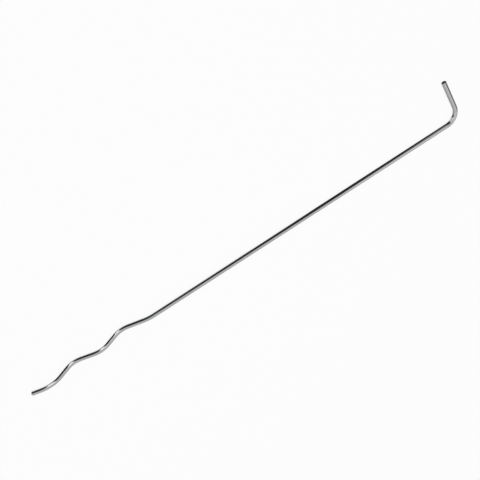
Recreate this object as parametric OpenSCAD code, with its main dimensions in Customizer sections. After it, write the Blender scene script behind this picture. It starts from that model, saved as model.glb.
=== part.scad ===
// Masonry wall tie, bent flat from one length of round wire.
// A hook at one end holds in the inner leaf, and a wave at the other is bedded in the outer leaf's mortar.
// It lies on its side, with +X along the shaft to the hook, +Y along the hook's leg and z = 0 underneath.

/* [Wire] */
// Diameter of the wire
wire_d = 3; // [2:0.5:6]
// Width of the broken edge round both cut ends
edge_break = 0.2; // [0.1:0.05:0.4]

/* [Shaft] */
// Overall length, from the outside of the hook to the wave's cut end
tie_length = 350; // [220:5:500]

/* [Hook] */
// Reach of the hook, from the shaft's centreline to its cut end
hook_reach = 27.5; // [18:0.5:60]
// Centreline radius of the hook's right-angled bend
hook_bend_r = 9; // [4:0.5:12]

/* [Wave] */
// Number of crests
crest_count = 2; // [1:1:3]
// Distance from crest to crest, along the wave's own axis
wave_pitch = 43; // [36:1:60]
// Depth from crest to trough, on the centreline
wave_depth = 4.5; // [3:0.1:7]
// Centreline radius of the bends at the crests and troughs
wave_bend_r = 22; // [8:1:27]
// Lean of the wave's own axis, away from the hook's side
wave_lean = 1.5; // [0:0.25:4]

/* [Lead-in and tail] */
// Centreline radius of the bend that leads from the shaft into the wave
lead_bend_r = 38; // [10:1:50]
// Slope of the straight that climbs to the first crest
lead_slope = 14; // [10:1:25]
// Length of that straight
lead_straight = 10.5; // [2:0.5:16]
// Centreline radius of the bend that leads from the wave into the tail
tail_bend_r = 34; // [10:1:50]
// Slope of the straight tail that ends the wave
tail_slope = 14; // [2:1:20]
// Length of the tail, up to its cut end
tail_length = 6.5; // [4:0.5:24]

/* [Hidden] */
$fn = 96;

steel = [0.71, 0.72, 0.73];
wire_r = wire_d / 2;
quarter_turn = 90;
half_turn = 180;

// A flank is the straight that touches two equal bends from opposite sides.
// The bends are as round as asked, or as the pitch and the depth leave room for.
half_pitch = wave_pitch / 2;
shortest_flank = 2;
roundest_r = (pow(half_pitch, 2) + pow(wave_depth, 2) - pow(shortest_flank, 2)) / (4 * wave_depth);
bend_r = min(wave_bend_r, roundest_r);
centres_drop = 2 * bend_r - wave_depth;
centres_apart = norm([half_pitch, centres_drop]);
flank = sqrt(pow(centres_apart, 2) - pow(2 * bend_r, 2));
flank_slope = asin(2 * bend_r / centres_apart) - atan2(centres_drop, half_pitch);

// Nudges a turn, by a few hundredths of a degree at most, to one whose cosine and sine are short decimals.
// A straight then starts on the very plane where the bend before it ends.
nudge = 0.0001;
nudges = 400;
places = 1e6;
function short(value) = round(value * places) / places;
function off_unit(angle) = abs(norm([short(cos(angle)), short(sin(angle))]) - 1);
function exact_turn(turn) =
    let (
        tries = [for (k = [-nudges : nudges]) turn + k * nudge],
        misses = [for (angle = tries) off_unit(angle)],
        best = tries[search(min(misses), misses)[0]]
    )
    atan2(short(sin(best)), short(cos(best)));

// Slope of each straight of the wave, from the lead-in to the tail
last_bend = 2 * crest_count;
slopes = [
    lead_slope,
    for (i = [1 : last_bend])
        i == last_bend ? tail_slope : (i % 2 == 0 ? flank_slope : -flank_slope) - wave_lean
];

// A bending step is [straight before the bend, turn, centreline radius]. A turn above 0 goes left.
// The wave's steps start where the shaft ends.
lead_turn = exact_turn(-lead_slope);
wave_steps = [
    [0, lead_turn, lead_bend_r],
    for (i = [1 : last_bend])
        [
            i == 1 ? lead_straight : flank,
            exact_turn(slopes[i - 1] - slopes[i]),
            i == last_bend ? tail_bend_r : bend_r
        ]
];

// A pose on the centreline is [x, y, heading], carried along a straight and round a bend.
function ahead(pose, run) = [pose.x + run * cos(pose.z), pose.y + run * sin(pose.z), pose.z];
function rounded(pose, turn, radius) =
    let (side = sign(turn), heading = pose.z + turn)
    [
        pose.x + side * radius * (sin(heading) - sin(pose.z)),
        pose.y - side * radius * (cos(heading) - cos(pose.z)),
        heading
    ];
function bend_start(pose, step) = ahead(pose, step[0]);
function bend_end(pose, step) = rounded(bend_start(pose, step), step[1], step[2]);
function walk(pose, steps, i = 0) =
    i == len(steps) ? [pose] : concat([pose], walk(bend_end(pose, steps[i]), steps, i + 1));

// Walked from the shaft's end, the wave gives its own length and its lowest trough.
wave_poses = walk([0, 0, half_turn], wave_steps);
tail_end = ahead(wave_poses[last_bend + 1], tail_length);
wave_run = -tail_end.x + (wire_r - edge_break) * sin(tail_end.z);
function trough_low(i) =
    let (pose = bend_start(wave_poses[i], wave_steps[i]))
    pose.y - wave_steps[i][2] * (1 + cos(pose.z));
lowest = min([0, for (i = [2 : 2 : last_bend]) trough_low(i)]) - wire_r;
mid_width = (hook_reach + lowest) / 2;

// Every step of the wire, from the hook's cut end to the tail
hook_straight = hook_reach - hook_bend_r - edge_break;
shaft_straight = tie_length - wire_r - hook_bend_r - wave_run;
tail_straight = tail_length - edge_break;
steps = [
    [hook_straight, -quarter_turn, hook_bend_r],
    [shaft_straight, lead_turn, lead_bend_r],
    for (i = [1 : last_bend]) wave_steps[i]
];

// Straight wire along +X
module straight(run) {
    rotate([0, quarter_turn, 0])
        cylinder(d = wire_d, h = run);
}

// Cut end, square across the wire, with its edge broken
module cut_end() {
    rotate([0, quarter_turn, 0])
        cylinder(r1 = wire_r, r2 = wire_r - edge_break, h = edge_break);
}

// Carries what follows round a bend that starts at the origin along +X.
module past_bend(turn, radius) {
    side = sign(turn);
    translate([0, side * radius, 0])
        rotate([0, 0, turn])
            translate([0, -side * radius, 0])
                children();
}

// Block ahead of the plane across the wire at the origin, large enough to take in a ring
module block_ahead(radius) {
    reach = 2 * radius + wire_d;
    translate([0, -reach, -wire_d])
        cube([reach, 2 * reach, 2 * wire_d]);
}

// A bend is the stretch of a ring between the planes across the wire at its two ends.
module bend(turn, radius) {
    intersection() {
        translate([0, sign(turn) * radius, 0])
            rotate_extrude()
                translate([radius, 0])
                    circle(d = wire_d);
        block_ahead(radius);
        past_bend(turn, radius)
            rotate([0, 0, half_turn])
                block_ahead(radius);
    }
}

// The wire from step i to the end of the tail, along +X from the origin
module wire_from(i) {
    if (i < len(steps)) {
        run = steps[i][0];
        turn = steps[i][1];
        radius = steps[i][2];
        straight(run);
        translate([run, 0, 0]) {
            bend(turn, radius);
            past_bend(turn, radius)
                wire_from(i + 1);
        }
    } else {
        straight(tail_straight);
        translate([tail_straight, 0, 0])
            cut_end();
    }
}

// The whole tie is one wire, laid from the top of the hook's leg.
module tie_wire() {
    color(steel)
        translate([tie_length / 2 - wire_r, hook_reach - edge_break - mid_width, wire_r])
            rotate([0, 0, -quarter_turn]) {
                rotate([0, 0, half_turn])
                    cut_end();
                wire_from(0);
            }
}

tie_wire();
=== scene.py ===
import math

import bpy
from mathutils import Matrix, Vector, noise


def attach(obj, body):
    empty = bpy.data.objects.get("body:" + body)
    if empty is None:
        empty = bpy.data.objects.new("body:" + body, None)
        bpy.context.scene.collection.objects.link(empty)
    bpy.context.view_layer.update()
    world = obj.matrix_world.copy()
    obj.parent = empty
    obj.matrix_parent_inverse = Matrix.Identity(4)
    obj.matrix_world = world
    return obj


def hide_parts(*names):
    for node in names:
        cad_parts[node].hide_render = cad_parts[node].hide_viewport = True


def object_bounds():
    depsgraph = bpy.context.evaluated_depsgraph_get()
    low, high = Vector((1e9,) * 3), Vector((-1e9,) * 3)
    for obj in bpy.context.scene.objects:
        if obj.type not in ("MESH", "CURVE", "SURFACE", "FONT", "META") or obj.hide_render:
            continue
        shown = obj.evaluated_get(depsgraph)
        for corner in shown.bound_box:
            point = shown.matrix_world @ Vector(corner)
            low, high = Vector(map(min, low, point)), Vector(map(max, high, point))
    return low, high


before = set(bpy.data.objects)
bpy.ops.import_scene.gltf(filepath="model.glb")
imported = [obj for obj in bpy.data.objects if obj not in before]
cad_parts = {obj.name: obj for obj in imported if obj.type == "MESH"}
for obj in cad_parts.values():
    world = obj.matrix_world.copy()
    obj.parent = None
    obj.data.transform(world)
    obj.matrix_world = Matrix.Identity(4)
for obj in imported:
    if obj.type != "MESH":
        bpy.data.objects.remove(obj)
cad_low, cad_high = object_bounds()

# The tie is one length of bright drawn stainless wire, straightened off the coil and cropped at both ends.
# It is bent cold and flat: one end is turned square round a pin as the hook,
# and the other is pressed between dies into a shallow wave that mortar can grip.
wire_d = 0.003
wire_r = wire_d / 2
edge_break = 0.0002
tie_length = cad_high.x - cad_low.x

hook_reach = 0.0275
hook_bend_r = 0.009

wave_pitch = 0.043
wave_depth = 0.0045
wave_bend_r = 0.022
wave_lean = math.radians(1.5)
lead_bend_r = 0.038
lead_slope = math.radians(14)
lead_straight = 0.0105
tail_bend_r = 0.034
tail_slope = math.radians(14)
tail_length = 0.0065

# A flank of the wave is the straight that touches two equal bends from opposite sides.
half_pitch = wave_pitch / 2
centres_drop = 2 * wave_bend_r - wave_depth
centres_apart = math.hypot(half_pitch, centres_drop)
flank = math.sqrt(centres_apart ** 2 - (2 * wave_bend_r) ** 2)
flank_slope = math.asin(2 * wave_bend_r / centres_apart) - math.atan2(centres_drop, half_pitch)
falling = -flank_slope - wave_lean
rising = flank_slope - wave_lean

# The bending list: the straight before each bend, the turn, above 0 to the left, and the centreline radius
wave_bends = [
    (0, -lead_slope, lead_bend_r),
    (lead_straight, lead_slope - falling, wave_bend_r),
    (flank, falling - rising, wave_bend_r),
    (flank, rising - falling, wave_bend_r),
    (flank, falling - tail_slope, tail_bend_r),
]


def lay_wire(x, y, heading, bends, tail, spacing):
    """Stations along bent wire: (x, y, heading, distance run, bend's side, how far into its middle).

    They stand twice as close in a bend as on a straight.
    """
    run = 0
    stations = [(x, y, heading, run, 0, 0)]
    for straight, turn, radius in [*bends, (tail, 0, 1)]:
        count = math.ceil(straight / spacing)
        for _ in range(count):
            x += straight / count * math.cos(heading)
            y += straight / count * math.sin(heading)
            run += straight / count
            stations.append((x, y, heading, run, 0, 0))
        side = math.copysign(1, turn)
        centre_x = x - side * radius * math.sin(heading)
        centre_y = y + side * radius * math.cos(heading)
        start = heading
        count = math.ceil(abs(turn) * radius / (spacing / 2))
        for k in range(1, count + 1):
            heading = start + turn * k / count
            x = centre_x + side * radius * math.sin(heading)
            y = centre_y - side * radius * math.cos(heading)
            run += abs(turn) * radius / count
            stations.append((x, y, heading, run, side, math.sin(math.pi * k / count)))
    return stations


# The wave laid alone gives the length that is left for the straight shaft.
tail_x, _, tail_heading = lay_wire(0, 0, math.pi, wave_bends, tail_length, wire_d)[-1][:3]
wave_run = -tail_x + (wire_r - edge_break) * math.sin(tail_heading)
shaft = tie_length - wire_r - hook_bend_r - wave_run
bends = [
    (hook_reach - hook_bend_r, -math.pi / 2, hook_bend_r),
    (shaft, -lead_slope, lead_bend_r),
    *wave_bends[1:],
]
station_spacing = 0.001
wire_height = cad_low.z + wire_r
stations = lay_wire(cad_high.x - wire_r, cad_high.y, -math.pi / 2, bends, tail_length, station_spacing)
hook_end = stations[0]
wave_end = stations[-1]
wire_length = wave_end[3]

# Extra stations close to each cut end follow its rounded edge,
# which is a little short of a full quarter round.
edge_fullness = 0.98
edge_shares = (0.06, 0.15, 0.3, 0.5, 0.75, 1)
edge_depths = [edge_break * share for share in edge_shares]


def broken_edge(depth):
    """Radius of the wire at a depth below its cut face: the edge is rounded over."""
    if depth >= edge_break:
        return wire_r
    share = 1 - depth / edge_break
    return wire_r - edge_break * (1 - math.sqrt(1 - share ** 2 * edge_fullness))


def set_back(station, depth):
    """The station moved a depth along the wire, against its heading where the depth is below 0."""
    x, y, heading, run, side, pressed = station
    x += depth * math.cos(heading)
    y += depth * math.sin(heading)
    return (x, y, heading, run + depth, side, pressed)


rings = [set_back(hook_end, depth) for depth in [0, *edge_depths]]
rings += stations[1:-1]
rings += [set_back(wave_end, -depth) for depth in [*reversed(edge_depths), 0]]

# The skin is a ring of points at each station. The pin and the dies leave a faint flat inside each bend.
# Each point keeps its place on the wire as it was before bending, for the marks that run along it.
sides = 72
pin_flat = 0.00007
press_flat = 0.00004
flat_narrowness = 4
hook_run = hook_reach + hook_bend_r
points = []
places = []
rubs = []
faces = []
face_finish = []
for x, y, heading, run, side, pressed in rings:
    radius = broken_edge(min(run, wire_length - run))
    flat = pin_flat if run < hook_run else press_flat
    for k in range(sides):
        around = 2 * math.pi * k / sides
        across = math.cos(around)
        up = math.sin(around)
        rub = pressed * max(0, side * across) ** flat_narrowness
        r = radius - flat * rub
        points.append((
            x - r * across * math.sin(heading),
            y + r * across * math.cos(heading),
            wire_height + r * up,
        ))
        places.append((run, wire_r * across, wire_r * up))
        rubs.append(rub)
for ring in range(len(rings) - 1):
    on_edge = not len(edge_depths) <= ring < len(rings) - 1 - len(edge_depths)
    for k in range(sides):
        a = ring * sides + k
        b = ring * sides + (k + 1) % sides
        faces.append((a, b, b + sides, a + sides))
        face_finish.append(1 if on_edge else 0)

# The blade cuts the upper half of each end, and the lower half tears away below a wandering line.
face_rings = 9
hollow_rim = 0.25
cut_hollow = 0.00001
torn_hollow = 0.00006
torn_grit = 0.00003
grit_scale = 3500
grit_offset = 0.01
tear_wander = 0.0002
tear_wander_run = 0.0004
tear_blur = 0.00012


def crop_face(station, first, outward):
    """A cropped end: smooth where the blade cut, torn and a little hollow where the wire broke away."""
    x, y, heading, run = station[:4]
    rim = broken_edge(0)
    last = [first + k for k in range(sides)]
    for ring in range(1, face_rings + 1):
        share = 1 - ring / face_rings
        row = []
        for k in range(sides if share else 1):
            around = 2 * math.pi * k / sides
            across = rim * share * math.cos(around)
            up = rim * share * math.sin(around)
            tear_line = tear_wander * math.sin(across / tear_wander_run)
            tear = 0.5 - 0.5 * math.tanh((up + tear_line) / tear_blur)
            grit = noise.noise(Vector((across, up, outward * grit_offset)) * grit_scale)
            depth = cut_hollow + tear * (torn_hollow + torn_grit * grit)
            hollow = min(1, (1 - share) / hollow_rim) * depth
            row.append(len(points))
            points.append((
                x - across * math.sin(heading) - outward * hollow * math.cos(heading),
                y + across * math.cos(heading) - outward * hollow * math.sin(heading),
                wire_height + up,
            ))
            places.append((run - outward * hollow, across, up))
            rubs.append(0)
        for k in range(sides):
            n = (k + 1) % sides
            quad = (last[k], last[n], row[n], row[k]) if share else (last[k], last[n], row[0])
            faces.append(quad if outward > 0 else tuple(reversed(quad)))
            face_finish.append(1)
        last = row


crop_face(hook_end, 0, -1)
crop_face(wave_end, (len(rings) - 1) * sides, 1)


def put_in_scene(name, data):
    """A new object in the scene, from its mesh, lamp or lens."""
    made = bpy.data.objects.new(name, data)
    bpy.context.scene.collection.objects.link(made)
    return made


sharp_over = math.radians(50)
wire_mesh = bpy.data.meshes.new("bent_wire")
wire_mesh.from_pydata(points, [], faces)
wire_mesh.polygons.foreach_set("material_index", face_finish)
wire_mesh.shade_smooth()
wire_mesh.set_sharp_from_angle(angle=sharp_over)
wire_place = wire_mesh.attributes.new("wire_place", "FLOAT_VECTOR", "POINT")
wire_place.data.foreach_set("vector", [value for place in places for value in place])
tool_rub = wire_mesh.attributes.new("tool_rub", "FLOAT", "POINT")
tool_rub.data.foreach_set("value", rubs)
wire_mesh.validate()
wire = put_in_scene("bent_wire", wire_mesh)


class Tone:
    """An output socket. Reckoning with it adds Math nodes, and node() adds any other node.

    Without a socket it is the bare tree that a finish is built in.
    """

    def __init__(self, tree, socket=None):
        self.tree = tree
        self.socket = socket

    def node(self, kind, settings=None, inputs=None, output=0):
        """Adds a node. Its settings are set first, and then its inputs get their values or links."""
        made = self.tree.nodes.new(kind)
        for name, value in (settings or {}).items():
            setattr(made, name, value)
        for name, value in (inputs or {}).items():
            if isinstance(value, Tone):
                self.tree.links.new(value.socket, made.inputs[name])
            else:
                made.inputs[name].default_value = value
        return Tone(self.tree, made.outputs[output] if made.outputs else None)

    def reckon(self, operation, first, second):
        return self.node("ShaderNodeMath", {"operation": operation}, {0: first, 1: second})

    def __add__(self, other):
        return self.reckon("ADD", self, other)

    def __radd__(self, other):
        return self.reckon("ADD", other, self)

    def __sub__(self, other):
        return self.reckon("SUBTRACT", self, other)

    def __rsub__(self, other):
        return self.reckon("SUBTRACT", other, self)

    def __mul__(self, other):
        return self.reckon("MULTIPLY", self, other)

    def __rmul__(self, other):
        return self.reckon("MULTIPLY", other, self)


def new_finish(name):
    """An empty material, and its node tree to build in."""
    finish = bpy.data.materials.new(name)
    finish.use_nodes = True
    finish.node_tree.nodes.clear()
    return finish, Tone(finish.node_tree)


def grain(tree, place, scales, detail):
    """Noise from about 0 to 1 over the wire, with one scale along it and two across."""
    stretched = tree.node("ShaderNodeVectorMath", {"operation": "MULTIPLY"}, {0: place, 1: scales})
    settings = {"noise_dimensions": "3D"}
    inputs = {"Vector": stretched, "Scale": 1, "Detail": detail, "Roughness": 0.55}
    return tree.node("ShaderNodeTexNoise", settings, inputs)


def band(tree, value, low, high, out_low=0, out_high=1):
    """Values from low to high eased on to a new range."""
    settings = {"interpolation_type": "SMOOTHSTEP"}
    inputs = {"Value": value, "From Min": low, "From Max": high, "To Min": out_low, "To Max": out_high}
    return tree.node("ShaderNodeMapRange", settings, inputs)


def blend_colours(tree, share, first, second):
    """The first colour, turned into the second as the share goes from 0 to 1."""
    settings = {"data_type": "RGBA", "clamp_factor": True}
    return tree.node("ShaderNodeMix", settings, {0: share, 6: first, 7: second}, 2)


def bare_steel(tree, colour, roughness, relief, strength, depth):
    """Ends a finish as bare metal with a fine relief."""
    bump = tree.node("ShaderNodeBump", inputs={"Height": relief, "Strength": strength, "Distance": depth})
    inputs = {"Base Color": colour, "Metallic": 1, "Roughness": roughness, "Normal": bump}
    shader = tree.node("ShaderNodeBsdfPrincipled", inputs=inputs)
    tree.node("ShaderNodeOutputMaterial", inputs={"Surface": shader})


# Bright drawn steel has long die lines, a few deeper scores, smears from handling and dull rubs from tools.
# A scale is how often a mark comes in a metre along the wire, and then across it both ways.
line_scale = (25, 3200, 3200)
line_dark = (0.366, 0.373, 0.386, 1)
line_light = (0.454, 0.459, 0.466, 1)
line_depth = 0.00002
score_scale = (60, 1700, 1700)
score_grey = (0.28, 0.28, 0.285, 1)
score_share = 0.35
smear_scale = (110, 400, 400)
smear_grey = (0.37, 0.365, 0.355, 1)
smear_share = 0.3
drawn_roughness = 0.06
line_dulling = 0.05
score_dulling = 0.08
smear_dulling = 0.06
rub_dulling = 0.1
drawn_steel, tree = new_finish("drawn_steel")
place = tree.node("ShaderNodeAttribute", {"attribute_name": "wire_place"}, output=1)
rub = tree.node("ShaderNodeAttribute", {"attribute_name": "tool_rub"}, output=2)
lines = grain(tree, place, line_scale, detail=3)
scores = band(tree, grain(tree, place, score_scale, detail=1), low=0.64, high=0.72)
smears = band(tree, grain(tree, place, smear_scale, detail=4), low=0.4, high=0.68)
steel = blend_colours(tree, lines, line_dark, line_light)
steel = blend_colours(tree, scores * score_share, steel, score_grey)
steel = blend_colours(tree, smears * smear_share, steel, smear_grey)
roughness = drawn_roughness + lines * line_dulling + scores * score_dulling
roughness = roughness + smears * smear_dulling + rub * rub_dulling
bare_steel(tree, steel, roughness, relief=lines - scores, strength=0.25, depth=line_depth)

# The cropped faces are dull, with streaks that run down from the blade and small pits. Their near-black tone
# is painted shade, and the pits are painted darker still as shade in their hollows.
streak_scale = (400, 9000, 900)
painted_shade_streak_dark = (0.022, 0.021, 0.021, 1)
painted_shade_streak_light = (0.05, 0.049, 0.048, 1)
pit_scale = (5000, 5000, 5000)
pit_painted_shade = (0.012, 0.012, 0.012, 1)
pit_share = 0.6
pit_depth = 0.00003
cropped_roughness = 0.3
streak_dulling = 0.2
pit_dulling = 0.15
cropped_steel, tree = new_finish("cropped_steel")
place = tree.node("ShaderNodeAttribute", {"attribute_name": "wire_place"}, output=1)
streaks = grain(tree, place, streak_scale, detail=3)
pits = grain(tree, place, pit_scale, detail=4)
# The near-black streak tones and the black pits are painted shade over the face's own streaks and pits.
steel = blend_colours(tree, streaks, painted_shade_streak_dark, painted_shade_streak_light)
steel = blend_colours(tree, band(tree, pits, low=0.52, high=0.62) * pit_share, steel, pit_painted_shade)
roughness = cropped_roughness + streaks * streak_dulling + pits * pit_dulling
bare_steel(tree, steel, roughness, relief=streaks + pits, strength=0.5, depth=pit_depth)

wire_mesh.materials.append(drawn_steel)
wire_mesh.materials.append(cropped_steel)
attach(wire, "root")
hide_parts("tie_wire")

# The floor is a wide sheet of plain white card that the tie lies on.
# It shows white to the camera, keeps a soft shadow under the wire and fades into the white room further off.
floor_half = 4.0
floor_colour = (0.9, 0.9, 0.9, 1)
white = (1, 1, 1, 1)
floor_lift = 0.86
fade_start = 0.35
fade_end = 1.2
floor_mesh = bpy.data.meshes.new("floor")
corners = [(-1, -1), (1, -1), (1, 1), (-1, 1)]
floor_mesh.from_pydata([(floor_half * x, floor_half * y, cad_low.z) for x, y in corners], [], [(0, 1, 2, 3)])
floor = put_in_scene("floor", floor_mesh)
white_card, tree = new_finish("white_card")
matt = tree.node("ShaderNodeBsdfDiffuse", inputs={"Color": floor_colour})
lifted = tree.node("ShaderNodeEmission", inputs={"Color": white, "Strength": 1})
seen = tree.node("ShaderNodeLightPath", output="Is Camera Ray")
place = tree.node("ShaderNodeNewGeometry", output="Position")
apart = tree.node("ShaderNodeVectorMath", {"operation": "LENGTH"}, {0: place}, "Value")
lift = band(tree, apart, fade_start, fade_end, floor_lift, 1)
shown = tree.node("ShaderNodeMixShader", inputs={0: seen * lift, 1: matt, 2: lifted})
tree.node("ShaderNodeOutputMaterial", inputs={"Surface": shown})
floor_mesh.materials.append(white_card)
floor.visible_glossy = False

# The light is a wide soft lamp overhead and an even white room, which the steel mirrors.
# Dark, grey and bright cards stand round the tie, out of the picture. Only the steel shows them,
# as the stripes along the wire.
lamp_size = 1.8
lamp_place = (-0.1, 0.1, 1.6)
lamp_watts = 18
lamp = bpy.data.lights.new("soft_lamp", "AREA")
lamp.size = lamp_size
lamp.energy = lamp_watts
soft_lamp = put_in_scene("soft_lamp", lamp)
soft_lamp.location = lamp_place
soft_lamp.visible_glossy = False

room_fill = 0.45
world = bpy.data.worlds.new("white_room")
world.use_nodes = True
world.node_tree.nodes.clear()
bpy.context.scene.world = world
tree = Tone(world.node_tree)
seen = tree.node("ShaderNodeLightPath", output="Is Camera Ray")
mirrored = tree.node("ShaderNodeLightPath", output="Is Glossy Ray")
through = tree.node("ShaderNodeLightPath", output="Is Transmission Ray")
fill = tree.node("ShaderNodeBackground", inputs={"Color": white, "Strength": room_fill})
walls = tree.node("ShaderNodeBackground", inputs={"Color": white, "Strength": 1})
room = tree.node("ShaderNodeMixShader", inputs={0: seen + mirrored + through, 1: fill, 2: walls})
tree.node("ShaderNodeOutputWorld", inputs={"Surface": room})


def make_card(name, corners, quads, level):
    """A card with one grey front, which only steel shows, and a back that shows nothing."""
    mesh = bpy.data.meshes.new(name)
    mesh.from_pydata(corners, [], quads)
    card = put_in_scene(name, mesh)
    finish, tree = new_finish(name)
    glow = tree.node("ShaderNodeEmission", inputs={"Color": (level, level, level, 1), "Strength": 1})
    clear = tree.node("ShaderNodeBsdfTransparent")
    behind = tree.node("ShaderNodeNewGeometry", output="Backfacing")
    front = tree.node("ShaderNodeMixShader", inputs={0: behind, 1: glow, 2: clear})
    tree.node("ShaderNodeOutputMaterial", inputs={"Surface": front})
    mesh.materials.append(finish)
    card.visible_camera = False
    card.visible_diffuse = False
    card.visible_transmission = False
    card.visible_shadow = False


card_distance = 2.0
card_steps = 12


def stand_card(name, bearings, lows, highs, level):
    """A curved card between two bearings, with its lower and upper rise at each, all in degrees."""
    corners = []
    quads = []
    for i in range(card_steps + 1):
        bearing = math.radians(bearings[0] + (bearings[1] - bearings[0]) * i / card_steps)
        low = lows[0] + (lows[1] - lows[0]) * i / card_steps
        high = highs[0] + (highs[1] - highs[0]) * i / card_steps
        for j in range(card_steps + 1):
            rise = math.radians(low + (high - low) * j / card_steps)
            corners.append((
                card_distance * math.cos(bearing) * math.cos(rise),
                card_distance * math.sin(bearing) * math.cos(rise),
                card_distance * math.sin(rise),
            ))
    for i in range(card_steps):
        for j in range(card_steps):
            a = i * (card_steps + 1) + j
            b = a + card_steps + 1
            quads.append((a, a + 1, b + 1, b))
    make_card(name, corners, quads, level)


stand_card("near_dark_card", (40, 88), (-88, -88), (8, 8), 0.015)
stand_card("near_grey_card", (40, 71.5), (8, 8), (77, 77), 0.5)
stand_card("mid_dim_card", (71.5, 88), (8, 8), (77, 77), 0.09)
stand_card("dark_card", (88, 121.5), (-64, -32), (74, 50), 0.04)
stand_card("pale_card", (122, 136), (-30, 0), (16, 20), 2.1)
stand_card("bright_card", (124, 168), (16, 46), (36, 50), 2.2)
stand_card("left_dark_card", (136, 158), (-88, -88), (15, 44), 0.015)
stand_card("far_dark_card", (156, 206), (-88, -88), (-30, -45), 0.05)
stand_card("right_dark_card", (-41, -20), (-20, -20), (52, 52), 0.3)
stand_card("table_card", (-140, -46), (-88, -88), (8, 8), 0.5)
stand_card("far_table_card", (-179, -140), (-44, -44), (-3, -3), 0.75)
stand_card("over_card", (-80, -20), (50, 50), (88, 88), 1.45)

# A small card beside the hook whitens the inside of its bend. Its back is to the shaft.
hook_card_x = 0.152
hook_card_near = 0.0172
hook_card_far = 0.047
hook_card_low = -0.06
hook_card_high = 0.1
hook_card_level = 1.4
corners = [
    (hook_card_x, hook_card_near, hook_card_low),
    (hook_card_x, hook_card_far, hook_card_low),
    (hook_card_x, hook_card_far, hook_card_high),
    (hook_card_x, hook_card_near, hook_card_high),
]
make_card("hook_card", corners, [(0, 1, 2, 3)], hook_card_level)

# The camera looks down on the tie at about sixty degrees, turned so that the shaft climbs to the right.
# Its lens takes in about 45 degrees.
camera_place = Vector((0.06707, 0.19129, 0.33352))
camera_aim = Vector((0.01353, 0.00101, wire_height))
picture_up = math.radians(57.335)
lens_mm = 43.673
film_mm = 36
nearest_seen = 0.01
lens = bpy.data.cameras.new("camera")
lens.lens = lens_mm
lens.sensor_width = film_mm
lens.clip_start = nearest_seen
camera = put_in_scene("camera", lens)
ahead = (camera_aim - camera_place).normalized()
right = ahead.cross(Vector((math.cos(picture_up), math.sin(picture_up), 0))).normalized()
up = right.cross(ahead)
turned = Matrix((right, up, -ahead)).transposed().to_4x4()
camera.matrix_world = Matrix.Translation(camera_place) @ turned
bpy.context.scene.camera = camera
bpy.context.scene.view_settings.view_transform = "Standard"
